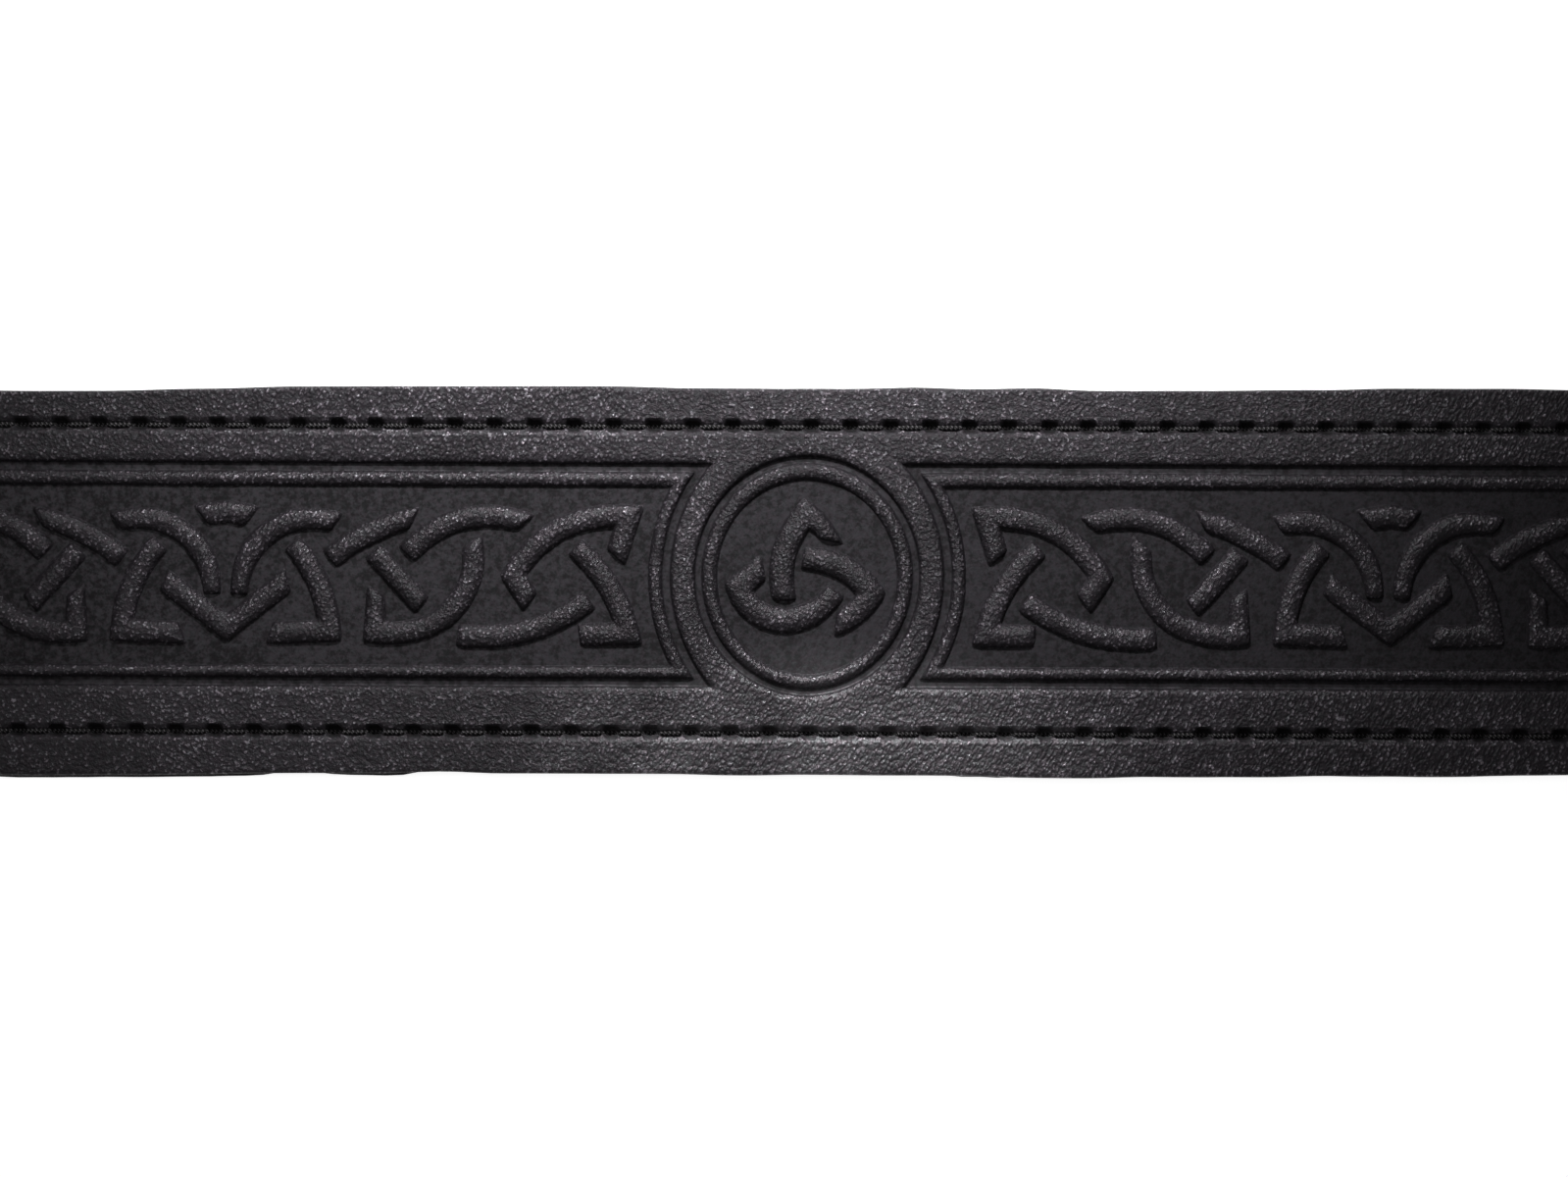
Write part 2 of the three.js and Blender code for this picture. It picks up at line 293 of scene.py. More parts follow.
def panelLoop(startX, inset):
    longSteps, endSteps = fineness["panelSide"], fineness["panelEnd"]
    half = pattern["panelHalf"] - inset
    radius = pattern["endRadius"] + inset
    swing = math.asin(half / radius)
    leftX = startX + pattern["endReach"] - pattern["endRadius"]
    rightX = startX + pattern["pitch"] - pattern["endReach"] + pattern["endRadius"]
    corner = leftX + radius * math.cos(swing)
    farCorner = rightX - radius * math.cos(swing)
    loop = []
    for start, end, y, centreX, way in (
        (corner, farCorner, half, rightX, -1), (farCorner, corner, -half, leftX, 1),
    ):
        loop += [(start + (end - start) * i / longSteps, y) for i in range(longSteps)]
        for i in range(endSteps):
            turn = way * (2 * swing * i / endSteps - swing)
            loop.append((centreX + way * radius * math.cos(turn), radius * math.sin(turn)))
    drop = 0.2 * smooth((inset - 1.2) / 2)
    return [(x, y + pattern["rise"] - drop) for x, y in loop]


def roundelLoop(x, inset):
    wide, high = pattern["roundelHalf"]
    centreY = pattern["rise"] - 0.22 * smooth((inset - 1.2) / 2)
    return [
        (x + (wide - inset) * math.cos(t), centreY + (high - inset) * math.sin(t))
        for t in fullTurn(fineness["roundel"])
    ]


def pressFrame(skin, loopAt, steps):
    rows = []
    for inset, high, raised in steps:
        places = []
        for x, y in loopAt(inset):
            dx = 0.05 * wobble(x, y, 5.0, 1)
            dy = 0.05 * wobble(x, y, 5.0, 2)
            dh = 0.05 * wobble(x, y, 3.0, 3) if raised > 0.9 and rows else 0.0
            places.append((x + dx, y + dy, high + dh))
        rows.append(skin.row(places, raised))
    skin.bridgeRows(rows)
    return rows[0], rows[-1]


# One leg of a strand: its two sides as dense runs of points, with the direction at each end
def legSides(start, end, bow, half):
    dx, dy = end[0] - start[0], end[1] - start[1]
    pull = ((start[0] + end[0]) / 2 - 2 * bow * dy, (start[1] + end[1]) / 2 + 2 * bow * dx)
    count = max(8, int(math.hypot(dx, dy) / 0.2))
    left, right, ways = [], [], []
    for i in range(count + 1):
        t = i / count
        x = (1 - t) ** 2 * start[0] + 2 * t * (1 - t) * pull[0] + t * t * end[0]
        y = (1 - t) ** 2 * start[1] + 2 * t * (1 - t) * pull[1] + t * t * end[1]
        way = Vector((
            2 * (1 - t) * (pull[0] - start[0]) + 2 * t * (end[0] - pull[0]),
            2 * (1 - t) * (pull[1] - start[1]) + 2 * t * (end[1] - pull[1]),
        )).normalized()
        side = Vector((-way.y, way.x)) * half
        left.append(Vector((x, y)) + side)
        right.append(Vector((x, y)) - side)
        ways.append(way)
    return left, right, ways[0], ways[-1]


# How far along a line of points each of them lies
def lengthsAlong(line):
    lengths = [0.0]
    for a, b in zip(line, line[1:]):
        lengths.append(lengths[-1] + (b - a).length)
    return lengths


def resample(line, shares):
    lengths = lengthsAlong(line)
    found, at = [], 0
    for share in shares:
        goal = share * lengths[-1]
        while at < len(line) - 2 and lengths[at + 1] < goal:
            at += 1
        gap = lengths[at + 1] - lengths[at]
        found.append(line[at].lerp(line[at + 1], (goal - lengths[at]) / gap if gap else 0.0))
    return found


# Rows across a whole strand, as pairs of side points
def strandRows(knots, bows, width, slants, tapers):
    half = width / 2
    taperRows = 14
    legs = [legSides(a, b, bow, half) for a, b, bow in zip(knots, knots[1:], bows)]
    joints = []
    for first, second, knot in zip(legs, legs[1:], knots[1:]):
        along = (first[3] + second[2]).normalized()
        out = Vector((-along.y, along.x))
        reach = half / max(0.42, along.dot(second[2]))
        joints.append((Vector(knot) + out * reach, Vector(knot) - out * reach, along, Vector(knot)))
    lefts, rights = [], []
    for n, (left, right, way, endWay) in enumerate(legs):
        sides = []
        for points, which in ((left, 0), (right, 1)):
            kept = list(points)
            if n > 0:
                along, knot = joints[n - 1][2], joints[n - 1][3]
                kept = [p for p in kept if (p - knot).dot(along) > 0.02]
                kept.insert(0, joints[n - 1][which])
            if n < len(legs) - 1:
                along, knot = joints[n][2], joints[n][3]
                kept = [p for p in kept if (p - knot).dot(along) < -0.02]
                kept.append(joints[n][which])
            sides.append(kept)
        if n == 0:
            shift = way * half * math.tan(math.radians(slants[0]))
            sides = [slideEnd(sides[0], shift, way, False), slideEnd(sides[1], -shift, way, False)]
        if n == len(legs) - 1:
            shift = endWay * half * math.tan(math.radians(slants[1]))
            sides = [slideEnd(sides[0], shift, endWay, True), slideEnd(sides[1], -shift, endWay, True)]
        length = sum(sum((b - a).length for a, b in zip(s, s[1:])) for s in sides) / 2
        count = max(2, round(length / fineness["strandRow"]))
        shares = [i / count for i in range(count + 1)]
        if n == 0:
            shares = [0.0, 0.12 / length, 0.35 / length] + [s for s in shares if s * length > 0.6]
        if n == len(legs) - 1:
            shares = [s for s in shares if (1 - s) * length > 0.6]
            shares += [1 - 0.35 / length, 1 - 0.12 / length, 1.0]
        begin = 0 if n == 0 else 1
        lefts += resample(sides[0], shares)[begin:]
        rights += resample(sides[1], shares)[begin:]
    for side in (lefts, rights):
        side[1:-1] = [a.lerp(b, 0.5).lerp(c, 0.55) for a, b, c in zip(side, side[2:], side[1:])]
    count = len(lefts)
    for i in range(count):
        near = min(i, count - 1 - i)
        narrow = (0.86, 0.94, 0.985)[near] if near < 3 else 1.0
        atStart = (1 - tapers[0]) * (1 - smooth(i / taperRows))
        atEnd = (1 - tapers[1]) * (1 - smooth((count - 1 - i) / taperRows))
        narrow *= 1 - atStart - atEnd
        centre = lefts[i].lerp(rights[i], 0.5)
        lefts[i] = centre.lerp(lefts[i], narrow)
        rights[i] = centre.lerp(rights[i], narrow)
    return lefts, rights


# Moves the end of one side so that the strand's end is cut on the slant
def slideEnd(points, shift, way, last):
    end = points[-1 if last else 0] + shift
    forward = 1 if last else -1
    moved = [p for p in points if (p - end).dot(way) * forward < -0.05]
    return [*moved, end] if last else [end, *moved]


# How far across a strand its points lie, as shares of its width
across = [0.0, 0.045, 0.15, 0.31, 0.5, 0.69, 0.85, 0.955, 1.0]


# Raises a strand out of the ground and gives back its outline there
def pressStrand(skin, lefts, rights, placeX, side):
    ground = strap["thickness"] - pattern["relief"]
    rows = []
    lengths = lengthsAlong([a.lerp(b, 0.5) for a, b in zip(lefts, rights)])
    for left, right, gone in zip(lefts, rights, lengths):
        width = (right - left).length
        reach = min(1.8, width / 2)
        endLift = dome(min(gone, lengths[-1] - gone) / 1.0)
        row = []
        for share in across:
            spot = left.lerp(right, share)
            x = placeX + side * spot.x
            y = pattern["rise"] + spot.y
            fromSide = min(share, 1 - share) * width
            lift = dome(fromSide / reach) ** 1.2 * endLift
            x += 0.07 * wobble(x, y, 2.6, 4)
            y += 0.07 * wobble(x, y, 2.6, 5)
            high = pattern["strandHeight"] * lift * (1 + 0.07 * wobble(x, y, 3.0, 6))
            row.append(skin.add((x, y, ground + high), smooth((lift - 0.12) / 0.4)))
        rows.append(row)
    skin.bridgeRows(rows, False)
    return (
        [row[0] for row in rows]
        + rows[-1][1:-1]
        + [row[-1] for row in reversed(rows)]
        + rows[0][-2:0:-1]
    )


# Where the awl went in, as distances along the whole stitch line, and that line itself
def stitchLine():
    s = stitching
    turnX = s["left"] + s["corner"]
    upper = s["end"] - turnX
    quarter = math.pi / 2 * s["corner"]
    side = s["upper"] - s["lower"] - 2 * s["corner"]
    marks = [0.0, upper, upper + quarter, upper + quarter + side, upper + 2 * quarter + side]
    total = marks[4] + upper

    def corner(out, y):
        return Vector((turnX, y)) + out * s["corner"], Vector((-out.y, out.x))

    def at(gone):
        if gone < marks[1]:
            return Vector((s["end"] - gone, s["upper"])), Vector((-1, 0))
        if gone < marks[2]:
            turn = (gone - marks[1]) / s["corner"]
            return corner(Vector((-math.sin(turn), math.cos(turn))), s["upper"] - s["corner"])
        if gone < marks[3]:
            return Vector((s["left"], s["upper"] - s["corner"] - (gone - marks[2]))), Vector((0, -1))
        if gone < marks[4]:
            turn = (gone - marks[3]) / s["corner"]
            return corner(Vector((-math.cos(turn), -math.sin(turn))), s["lower"] + s["corner"])
        return Vector((turnX + gone - marks[4], s["lower"])), Vector((1, 0))

    def pitsOn(phase, row):
        first = math.floor((s["end"] - 2.0 - phase) / s["pitch"])
        last = math.ceil((turnX + 1.0 - phase) / s["pitch"])
        places = [phase + s["pitch"] * k for k in range(first, last - 1, -1)]
        return [x + 0.35 * wobble(x, row * 40.0, 9.0, 8) for x in places]

    pits = [s["end"] - x for x in pitsOn(s["upperPhase"], 1)]
    lower = [marks[4] + x - turnX for x in reversed(pitsOn(s["lowerPhase"], 2))]
    gap = lower[0] - pits[-1]
    between = round(gap / s["pitch"])
    pits += [pits[-1] + gap * (i + 1) / between for i in range(between - 1)] + lower
    return at, pits, total


stitchAt, stitchPits, stitchTotal = stitchLine()


# How far the leather is drawn down beside the thread and at the pits, and how far inside a pit a point lies,
# which paints shade there
def stitchDepth(gone, off, nearest, lean):
    s = stitching
    fade = smooth(gone / 2.0) * smooth((stitchTotal - gone) / 2.0)
    beside = max(0.0, 1 - (off / s["grooveHalf"]) ** 2)
    groove = s["groove"] * min(1.0, 1.6 * beside)
    dx = (gone - nearest) / s["pitHalf"][0]
    dy = (off - s["pitShift"] * lean) / s["pitHalf"][1]
    inside = max(0.0, 1 - (dx * dx + dy * dy))
    pit = s["pit"] * min(1.0, 1.5 * inside)
    return fade * max(groove, pit), fade * min(1.0, 2 * inside)


def nearestPit(gone):
    high = min(max(bisect.bisect_left(stitchPits, gone), 1), len(stitchPits) - 1)
    return min(stitchPits[high - 1:high + 1], key=lambda pit: abs(pit - gone))


# The strap's outline: along the upper edge from the fold, round the tip, and back along the lower edge
def edgeLine(endX):
    half, radius = strap["width"] / 2, strap["tipRadius"]
    turnX = strap["tip"] + radius
    line = []
    count = round((endX - turnX) / fineness["edge"])
    for i in range(count):
        line.append((Vector((endX + (turnX - endX) * i / count, half)), Vector((0, 1))))
    cornerSteps, tipRows = 12, 9
    for centreY, start in ((half - radius, 0.0), (radius - half, math.pi / 2)):
        for i in range(cornerSteps + 1):
            turn = start + math.pi / 2 * i / cornerSteps
            out = Vector((-math.sin(turn), math.cos(turn)))
            line.append((Vector((turnX, centreY)) + out * radius, out))
        if start == 0.0:
            for i in range(1, tipRows):
                y = half - radius - (2 * (half - radius)) * i / tipRows
                line.append((Vector((strap["tip"], y)), Vector((-1, 0))))
    for i in range(1, count + 1):
        line.append((Vector((turnX + (endX - turnX) * i / count, -half)), Vector((0, -1))))
    return line


# Reads a table of places and amounts at one place
def between(table, x):
    for (a, low), (b, high) in zip(table, table[1:]):
        if x < b:
            return low + (high - low) * smooth((x - a) / (b - a))
    return table[-1][1]


# A cut edge's waver: in or out of the straight line
def edgeWaver(x, y):
    long = between(knife["upper"] if y > 0 else knife["lower"], x)
    far = smooth((abs(x) - 110) / 40)
    return long + 0.3 * far * wobble(x, y, 40.0, 11) + 0.05 * wobble(x, y, 7.0, 12)


# How high the face's underside lies: on the backing, over the tail, and over the bar
def undersideAt(s):
    if s < strap["tailEnd"]:
        t = (s - strap["foldStart"]) / (strap["tailEnd"] - strap["foldStart"])
        return strap["underside"] + (strap["overTail"] - strap["underside"]) * smooth(t)
    t = (s - strap["riseStart"]) / (strap["bar"] - strap["riseStart"])
    return strap["overTail"] + (strap["overBar"] - strap["overTail"]) * smooth(t)


# From the flat ply to its place, round the bar and back under itself
def bendPlace(place):
    s, y, h = place
    if s <= strap["bar"]:
        return s, y, undersideAt(s) + h
    if s < strap["bar"] + turnLength:
        turn = (s - strap["bar"]) / strap["bendRadius"]
        reach = strap["foldInner"] + h
        return strap["bar"] + reach * math.sin(turn), y, strap["barZ"] + reach * math.cos(turn)
    return turnBack - s, y, strap["thickness"] - h


# Presses every roundel and panel with its strands, and gives back the frames' outlines
def pressPattern(skin):
    shapes = {}
    for kind, rows, halfX, halfY, width in (
        ("panel", panelStrands, pattern["pitch"] / 2, pattern["groundHalf"], pattern["panelStrand"]),
        ("middle", middleStrands, pattern["pitch"] / 2, pattern["groundHalf"], pattern["panelStrand"]),
        ("disc", discStrands, *pattern["discHalf"], pattern["discStrand"]),
    ):
        shapes[kind] = []
        for along, up, bows, slants, tapers in rows:
            knots = [(a * halfX, u * halfY) for a, u in zip(along, up)]
            shapes[kind].append(strandRows(knots, bows, width, slants, tapers))
    frames = []
    panelSteps, roundelSteps = frameSteps(*pattern["panelFrame"]), frameSteps(*pattern["roundelFrame"])
    for x in pattern["roundels"]:
        outer, inner = pressFrame(skin, lambda inset: roundelLoop(x, inset), roundelSteps)
        frames.append(outer)
        skin.fill(inner, [pressStrand(skin, a, b, x, 1) for a, b in shapes["disc"]])
    for x in pattern["roundels"][:-1]:
        outer, inner = pressFrame(skin, lambda inset: panelLoop(x, inset), panelSteps)
        frames.append(outer)
        bases = [pressStrand(skin, a, b, x, 1) for a, b in shapes["panel"] + shapes["middle"]]
        bases += [pressStrand(skin, a, b, x + pattern["pitch"], -1) for a, b in shapes["panel"]]
        skin.fill(inner, bases)
    print("pattern", len(skin.faces), "faces")
    return frames


# The punched holes: how far out, how high and how freshly cut each ring is
def punchHoles(skin):
    top = strap["thickness"]
    steps = [
        (0.5, top, 0), (0.22, top - 0.07, 0.2), (0.05, top - 0.25, 0.8), (0, top - 0.5, 1),
        (0, strap["sole"], 1),
    ]
    holes, feet = [], []
    for x in strap["holes"]:
        rows = []
        for reach, high, cut in steps:
            ring = ringAt(x, strap["holeRadius"] + reach, high, fineness["hole"])
            rows.append(skin.row(ring, 1.0, cut))
        skin.bridgeRows(rows)
        holes.append(rows[0])
        feet.append(rows[-1])
    return holes, feet


# The stitched band of the flat part, in rows across it
def sewBand(skin):
    startGone = stitching["end"] - strap["foldStart"]
    endGone = stitchTotal - startGone
    leastGap = 0.25
    marks = [startGone]
    for pit in stitchPits:
        for offset in stitching["rows"]:
            if marks[-1] + leastGap < pit + offset < endGone - leastGap:
                marks.append(pit + offset)
    marks.append(endGone)
    rows = []
    for gone in marks:
        spot, way = stitchAt(gone)
        out = Vector((way.y, -way.x))
        pit = nearestPit(gone)
        row = []
        for off in stitching["band"]:
            depth, inPit = stitchDepth(gone, off, pit, out.y)
            place = spot + out * off
            # inside a pit the raised value goes below zero, which paints shade there
            row.append(skin.add((place.x, place.y, strap["thickness"] - depth), 1.0 - 2.0 * inPit))
        rows.append(row)
    skin.bridgeRows(rows, False)
    return rows


# The cut edge of the flat part: how far in, how high, how raised and how freshly cut each row is
def cutEdge(skin):
    top = strap["thickness"]
    steps = [
        (0.9, top, 1.0, 0.0), (0.55, top - 0.01, 1.0, 0.0), (0.26, top - 0.06, 1.0, 0.1),
        (0.07, top - 0.22, 0.9, 0.5), (0.0, top - 0.5, 0.5, 1.0), (0.02, 0.3, 0.5, 1.0),
        (0.1, 0.02, 0.5, 1.0), (0.3, strap["sole"], 0.5, 0.6),
    ]
    shyOf = 0.12
    border = edgeLine(strap["foldStart"])
    rows = []
    for inset, high, raised, cut in steps:
        row = []
        for place, out in border:
            spot = place + out * (edgeWaver(place.x, place.y) - inset - shyOf)
            row.append(skin.add((spot.x, spot.y, high), raised, cut))
        rows.append(row)
    skin.bridgeRows(rows, False)
    return rows


# Where the rows of the fold lie along the leather, up to its last place on the tail
def foldStops(last):
    bar, sewnTo = strap["bar"], stitching["end"]
    stops = stepped(strap["foldStart"] + 0.6, sewnTo + 1, fineness["foldSewn"])
    stops += [sewnTo + 1 + (bar - sewnTo - 1) * i / 8 for i in range(8)]
    stops += [bar + turnLength * i / 14 for i in range(15)]
    stops += stepped(bar + turnLength + 3, turnBack - sewnTo - 1, fineness["tailPlain"])
    stops += stepped(turnBack - sewnTo - 0.5, last - 1.0, fineness["tailSewn"])
    return stops + [last - 0.3, last - 0.06, last]


# How high a point on the fold's top lies, and how raised it is, beside the stitches; inside a pit the raised
# value goes below zero, which paints shade there
def foldTop(x, y):
    top, plainHalf = strap["thickness"], 18
    if x >= stitching["end"] or abs(y) <= plainHalf:
        return top, 1.0
    if y > 0:
        gone, off, lean = stitching["end"] - x, y - stitching["upper"], 1
    else:
        gone, off, lean = stitchTotal - (stitching["end"] - x), stitching["lower"] - y, -1
    depth, inPit = stitchDepth(gone, off, nearestPit(gone), lean)
    return top - depth, 1.0 - 2.0 * inPit


# Carries the ring of points from the fold's start to the tail's end; topFrom and topTo bound its top
def bendFold(skin, ring, topFrom, topTo):
    foldX, tailEnd = strap["foldStart"], strap["tailEnd"]
    edgeFrom, middleHigh, rounding = 27, 1.2, 0.35
    last = strap["bar"] + turnLength + (strap["bar"] - tailEnd)
    shape = [(skin.points[i][1], skin.points[i][2], skin.raised[i], skin.cut[i]) for i in ring]
    rows = [ring]
    for s in foldStops(last):
        x = s if s <= strap["bar"] else turnBack - s
        row = []
        for index, (y, h, raised, cut) in enumerate(shape):
            high = h
            if topFrom <= index < topTo:
                high, raised = foldTop(x, y)
            elif h <= 0.0:
                high = h if s < tailEnd - 2 else max(h, 0.0)
            fromEnd = last - s
            if fromEnd < rounding:
                squeeze = 0.3 * (1 - dome(fromEnd / rounding))
                high += squeeze if high < middleHigh else -squeeze
                cut = 1.0
            waver = edgeWaver(s, y) - edgeWaver(foldX, y) if abs(y) > edgeFrom else 0.0
            row.append(skin.add((s, y + (waver if y > 0 else -waver), high), raised, cut))
        rows.append(row)
    skin.bridgeRows(rows)
    skin.faces.append(tuple(rows[-1]))


def makeFace():
    skin = Skin()
    foldX = strap["foldStart"]
    frames = pressPattern(skin)
    holes, holeFeet = punchHoles(skin)
    bandRows = sewBand(skin)
    edgeRows = cutEdge(skin)

    # where the flat part meets the fold: one row across, top and bottom
    seamY = [16.0, 10.0, 3.5, -3.0, -9.5, -16.0]
    seam = skin.row([(foldX, y, strap["thickness"]) for y in seamY])
    seamFoot = skin.row([(foldX, y, strap["sole"]) for y in (20.0, *seamY, -20.0)], 0.5)
    skin.fill(edgeRows[0] + [row[-1] for row in reversed(bandRows)])
    skin.fill([row[0] for row in bandRows] + seam[::-1], [*frames, *holes])
    skin.fill(edgeRows[-1] + seamFoot[::-1], holeFeet)
    print("flat part", len(skin.faces), "faces")

    # the ring of points round the strap at the fold's start
    ring = [row[0] for row in edgeRows[::-1]] + bandRows[0][::-1] + seam
    ring += bandRows[-1] + [row[-1] for row in edgeRows] + seamFoot[::-1]
    bendFold(skin, ring, len(edgeRows), len(ring) - len(edgeRows) - len(seamFoot))
    return makeLeather("faceLeather", skin, [bendPlace(place) for place in skin.points])


# The plain second ply, a hair wider than the face in places
def makeBacking():
    skin = Skin()
    top, bottom = strap["backing"], 0.25
    steps = [
        (0.2, top, 0.6), (0.04, top - 0.1, 1.0), (0.0, top - 0.3, 1.0),
        (0.0, bottom + 0.35, 1.0), (0.08, bottom + 0.12, 1.0), (0.28, bottom, 0.4),
    ]
    shyOf = 0.16
    border = edgeLine(strap["tailEnd"] - 0.3)
    rows = []
    for inset, high, cut in steps:
        row = []
        for place, out in border:
            proud = 0.0
            if out.y < 0:
                far = smooth((abs(place.x) - 118) / 20)
                ragged = smooth(0.4 + 2.4 * wobble(place.x, 0, 17.0, 21))
                proud = between(knife["proud"], place.x) * (1 - far)
                proud += 0.35 * far * ragged + 0.06 * wobble(place.x, 0, 4.0, 22)
            spot = place + out * (edgeWaver(place.x, place.y) + proud - inset - shyOf)
            row.append(skin.add((spot.x, spot.y, high), 0.5, cut))
        rows.append(row)
    skin.bridgeRows(rows)
    feet, tops = [], []
    for x in strap["holes"]:
        rings = []
        for reach, high in ((0, top), (0, bottom + 0.3), (0.1, bottom + 0.08), (0.3, bottom)):
            ring = ringAt(x, strap["holeRadius"] + reach, high, fineness["hole"])
            rings.append(skin.row(ring, 0.5, 1.0))
        skin.bridgeRows(rings)
        tops.append(rings[0])
        feet.append(rings[-1])
    skin.fill(rows[0], tops)
    skin.fill(rows[-1], feet)
    return makeLeather("backingLeather", skin, skin.points)


# One stitch: a soft thread that rises out of one pit and dives into the next
def makeStitch():
    size = {"radius": 0.36, "flat": 0.88, "overlap": 1.02, "sides": 8, "rows": 10, "dive": 1.1}
    length = stitching["pitch"]
    built = bmesh.new()
    layer = built.loops.layers.uv.new("twist")
    rings, shares = [], []
    for i in range(size["rows"] + 1):
        t = i / size["rows"]
        share = 0.5 - 0.5 * math.cos(math.pi * t) if 0 < t < 1 else t
        share = 0.5 * share + 0.5 * t
        lift = smooth((min(share, 1 - share) - 0.1) / 0.2)
        x = (share - 0.5) * length * size["overlap"]
        z = -size["dive"] * (1 - lift)
        radius = size["radius"] * (0.8 + 0.2 * lift)
        ring = []
        for k in range(size["sides"]):
            turn = 2 * math.pi * k / size["sides"]
            y, up = radius * math.sin(turn), z + size["flat"] * radius * math.cos(turn)
            ring.append(built.verts.new((x * mm, y * mm, up * mm)))
        rings.append(ring)
        shares.append(share)
    for i in range(size["rows"]):
        for k in range(size["sides"]):
            n = (k + 1) % size["sides"]
            face = built.faces.new((rings[i][k], rings[i][n], rings[i + 1][n], rings[i + 1][k]))
            face.smooth = True
            for loop, (a, b) in zip(face.loops, ((i, k), (i, k + 1), (i + 1, k + 1), (i + 1, k))):
                loop[layer].uv = (shares[a], b / size["sides"])
    built.faces.new(rings[0][::-1])
    built.faces.new(rings[-1])
    bmesh.ops.recalc_face_normals(built, faces=built.faces)
    return objectFrom("stitch", built)


# A tree that sets one stitch at each place, turned and stretched as the place says
def stitchTree(material):
    tree = bpy.data.node_groups.new("sewnRow", "GeometryNodeTree")
    sockets = tree.interface
    sockets.new_socket("Places", in_out="INPUT", socket_type="NodeSocketGeometry")
    stitchSocket = sockets.new_socket("Stitch", in_out="INPUT", socket_type="NodeSocketObject")
    sockets.new_socket("Sewn", in_out="OUTPUT", socket_type="NodeSocketGeometry")
    node = tree.nodes.new
    start, end = node("NodeGroupInput"), node("NodeGroupOutput")
    info = node("GeometryNodeObjectInfo")
    turn, stretch = node("GeometryNodeInputNamedAttribute"), node("GeometryNodeInputNamedAttribute")
    for reader, name in ((turn, "turn"), (stretch, "stretch")):
        reader.data_type = "FLOAT_VECTOR"
        reader.inputs["Name"].default_value = name
    place, real = node("GeometryNodeInstanceOnPoints"), node("GeometryNodeRealizeInstances")
    paint = node("GeometryNodeSetMaterial")
    paint.inputs["Material"].default_value = material
    for source, given, goal, taken in (
        (start, "Places", place, "Points"), (start, "Stitch", info, "Object"),
        (info, "Geometry", place, "Instance"), (turn, "Attribute", place, "Rotation"),
        (stretch, "Attribute", place, "Scale"), (place, "Instances", real, "Geometry"),
        (real, "Geometry", paint, "Geometry"), (paint, "Geometry", end, "Sewn"),
    ):
        tree.links.new(source.outputs[given], goal.inputs[taken])
    return tree, stitchSocket.identifier


# One thread all along the stitch line, above the leather or below it
def makeThread(name, upperSide, stitch, material):
    places, turns, stretches = [], [], []
    for i, (a, b) in enumerate(zip(stitchPits, stitchPits[1:])):
        ends = []
        for gone in (a, b):
            spot, way = stitchAt(gone)
            out = Vector((way.y, -way.x))
            spot = spot + out * (0.1 * out.y)
            if upperSide:
                z = undersideAt(max(spot.x, strap["foldStart"])) + strap["thickness"] - 0.5
            else:
                z = 0.42
            ends.append(Vector((spot.x, spot.y, z)) * mm)
        along = ends[1] - ends[0]
        turn = along.to_track_quat("X", "Z")
        if not upperSide:
            over = Matrix.Rotation(math.pi, 4, along.normalized())
            turn = (over @ turn.to_matrix().to_4x4()).to_quaternion()
        plump = 1 + 0.08 * wobble(i * 3.0, 0, 2.0, 31)
        places.append((ends[0] + ends[1]) / 2)
        turns += turn.to_euler("XYZ")
        stretches += (along.length / (stitching["pitch"] * mm), plump, plump)
    mesh = bpy.data.meshes.new(name)
    mesh.from_pydata(places, [], [])
    for attribute, values in (("turn", turns), ("stretch", stretches)):
        mesh.attributes.new(attribute, "FLOAT_VECTOR", "POINT").data.foreach_set("vector", values)
    rowObject = addObject(name, mesh)
    tree, socket = stitchTree(material)
    sewn = rowObject.modifiers.new("sewn", "NODES")
    sewn.node_group = tree
    sewn[socket] = stitch
    made = evaluatedMesh(rowObject)
    rowObject.modifiers.remove(sewn)
    rowObject.data = made
    made.name = name
    print(name, countTriangles(made), "triangles")
    return rowObject


buckleSize = {
    "startX": 470.0, "endX": 560.0, "half": 33.0, "corner": 6.0, "bottom": 8.9, "top": 11.3,
    "barRadius": 1.6, "lugIn": 28.9, "lugOut": 31.3, "lugRadius": 3.4,
    "pegX": 548.0, "pegRadius": 2.0, "toe": 7.0, "toeTop": 2.2,
}


# A closed piece from rings of points in millimetres, one after the other
def loftPiece(name, rings):
    built = bmesh.new()
    rows = [[built.verts.new(Vector(p) * mm) for p in ring] for ring in rings]
    for first, second in zip(rows, rows[1:]):
        for i in range(len(first)):
            j = (i + 1) % len(first)
            built.faces.new((first[i], first[j], second[j], second[i]))
    built.faces.new(rows[0][::-1])
    built.faces.new(rows[-1])
    bmesh.ops.recalc_face_normals(built, faces=built.faces)
    return objectFrom(name, built)


